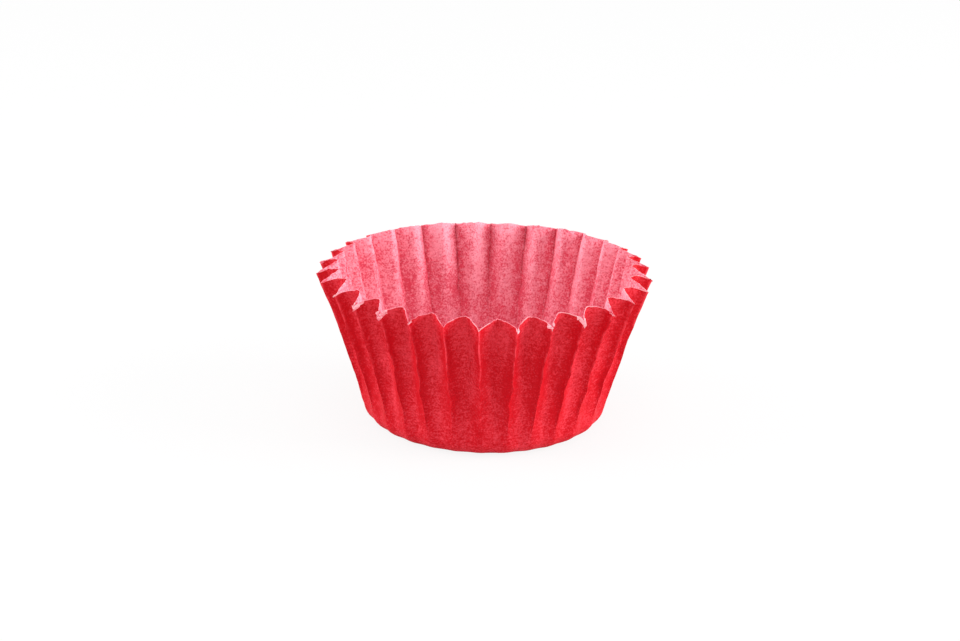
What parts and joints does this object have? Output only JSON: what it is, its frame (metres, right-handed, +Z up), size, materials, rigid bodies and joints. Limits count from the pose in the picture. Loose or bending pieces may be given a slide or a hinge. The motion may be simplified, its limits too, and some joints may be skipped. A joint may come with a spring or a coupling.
{
  "type": "paper candy cup",
  "caption": "Pleated red paper cup with a flat round base and a flaring, scalloped wall, for holding one chocolate or a small sweet.",
  "frame": {"origin": "centre of the flat base's underside, where the cup stands", "axes": "+Z up the cup's axis, out of its open mouth; +X and +Y lie in the plane of the base, with a valley of the wall on +X"},
  "size_m": [0.0442, 0.0446, 0.0208],
  "materials": {
    "red_paper": "uncoated thin paper, dyed red, matt"
  },
  "bodies": {
    "root": {"candy_cup": "red_paper"}
  },
  "joints": []
}
